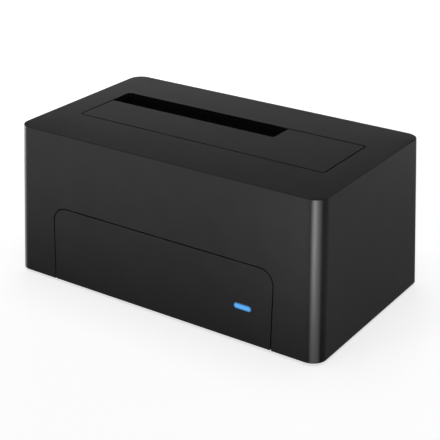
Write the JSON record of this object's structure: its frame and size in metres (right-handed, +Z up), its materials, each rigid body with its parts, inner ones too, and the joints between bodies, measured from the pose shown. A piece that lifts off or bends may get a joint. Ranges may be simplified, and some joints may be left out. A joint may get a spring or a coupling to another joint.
{
  "type": "hard drive docking station",
  "caption": "Desktop docking station for bare hard drives: a black leaning-walled box with a sprung L-shaped dust flap over the drive bay and a lit front window.",
  "frame": {"origin": "on the table, under the middle of the casing", "axes": "+X to the right seen from the front, +Y towards the back where the sockets are, +Z up"},
  "size_m": [0.131, 0.076, 0.058],
  "materials": {
    "shell_plastic": "matte black plastic with a fine moulded texture",
    "panel_plastic": "smoother satin black plastic",
    "inner_plastic": "plain moulded black plastic",
    "connector_plastic": "satin black moulded connector plastic",
    "blue_plastic": "satin blue moulded plastic",
    "light_window": "clear light pipe, lit blue",
    "foot_rubber": "soft matte rubber",
    "screw_steel": "zinc-plated steel",
    "bright_can": "bright drawn metal",
    "gold_contact": "gold-plated contact",
    "ferrite": "dull sintered ferrite",
    "circuit_board": "green solder resist on glass-fibre board"
  },
  "bodies": {
    "dock": {"casing": "shell_plastic", "front_panel": "panel_plastic", "light_pipe": "light_window", "base_plate": "inner_plastic", "rubber_feet": "foot_rubber", "base_screws": "screw_steel", "bay_frame": "inner_plastic", "bay_screws": "screw_steel", "hinge_pin": "screw_steel", "flap_spring_left": "screw_steel", "flap_spring_right": "screw_steel", "main_board": "circuit_board", "board_screws": "screw_steel", "sata_receptacle": "connector_plastic", "sata_contacts": "gold_contact", "bridge_chip": "connector_plastic", "bridge_leads": "screw_steel", "memory_chip": "connector_plastic", "crystal_can": "bright_can", "inductors": "ferrite", "capacitors": "bright_can", "led_holder": "connector_plastic", "status_led": "light_window", "dc_jack": "connector_plastic", "dc_pin": "screw_steel", "usb_shell": "bright_can", "usb_tongue": "blue_plastic", "usb_contacts": "gold_contact", "switch_body": "connector_plastic"},
    "flap": {"dust_flap": "shell_plastic"},
    "rocker": {"power_rocker": "connector_plastic"}
  },
  "joints": [
    {"name": "flap_swing", "type": "hinge", "parent": "dock", "child": "flap", "pos_m": [0, -0.0189, 0.0534], "axis": [-1, 0, 0], "range_deg": [0, 90], "stiffness_Nm_per_rad": 0.01, "springref_deg": -28.65, "deforming": ["flap_spring_left", "flap_spring_right"]},
    {"name": "rocker_tip", "type": "hinge", "parent": "dock", "child": "rocker", "pos_m": [-0.03301, 0.03333, 0.014], "axis": [0, 0, -1], "range_deg": [0, 22]}
  ]
}
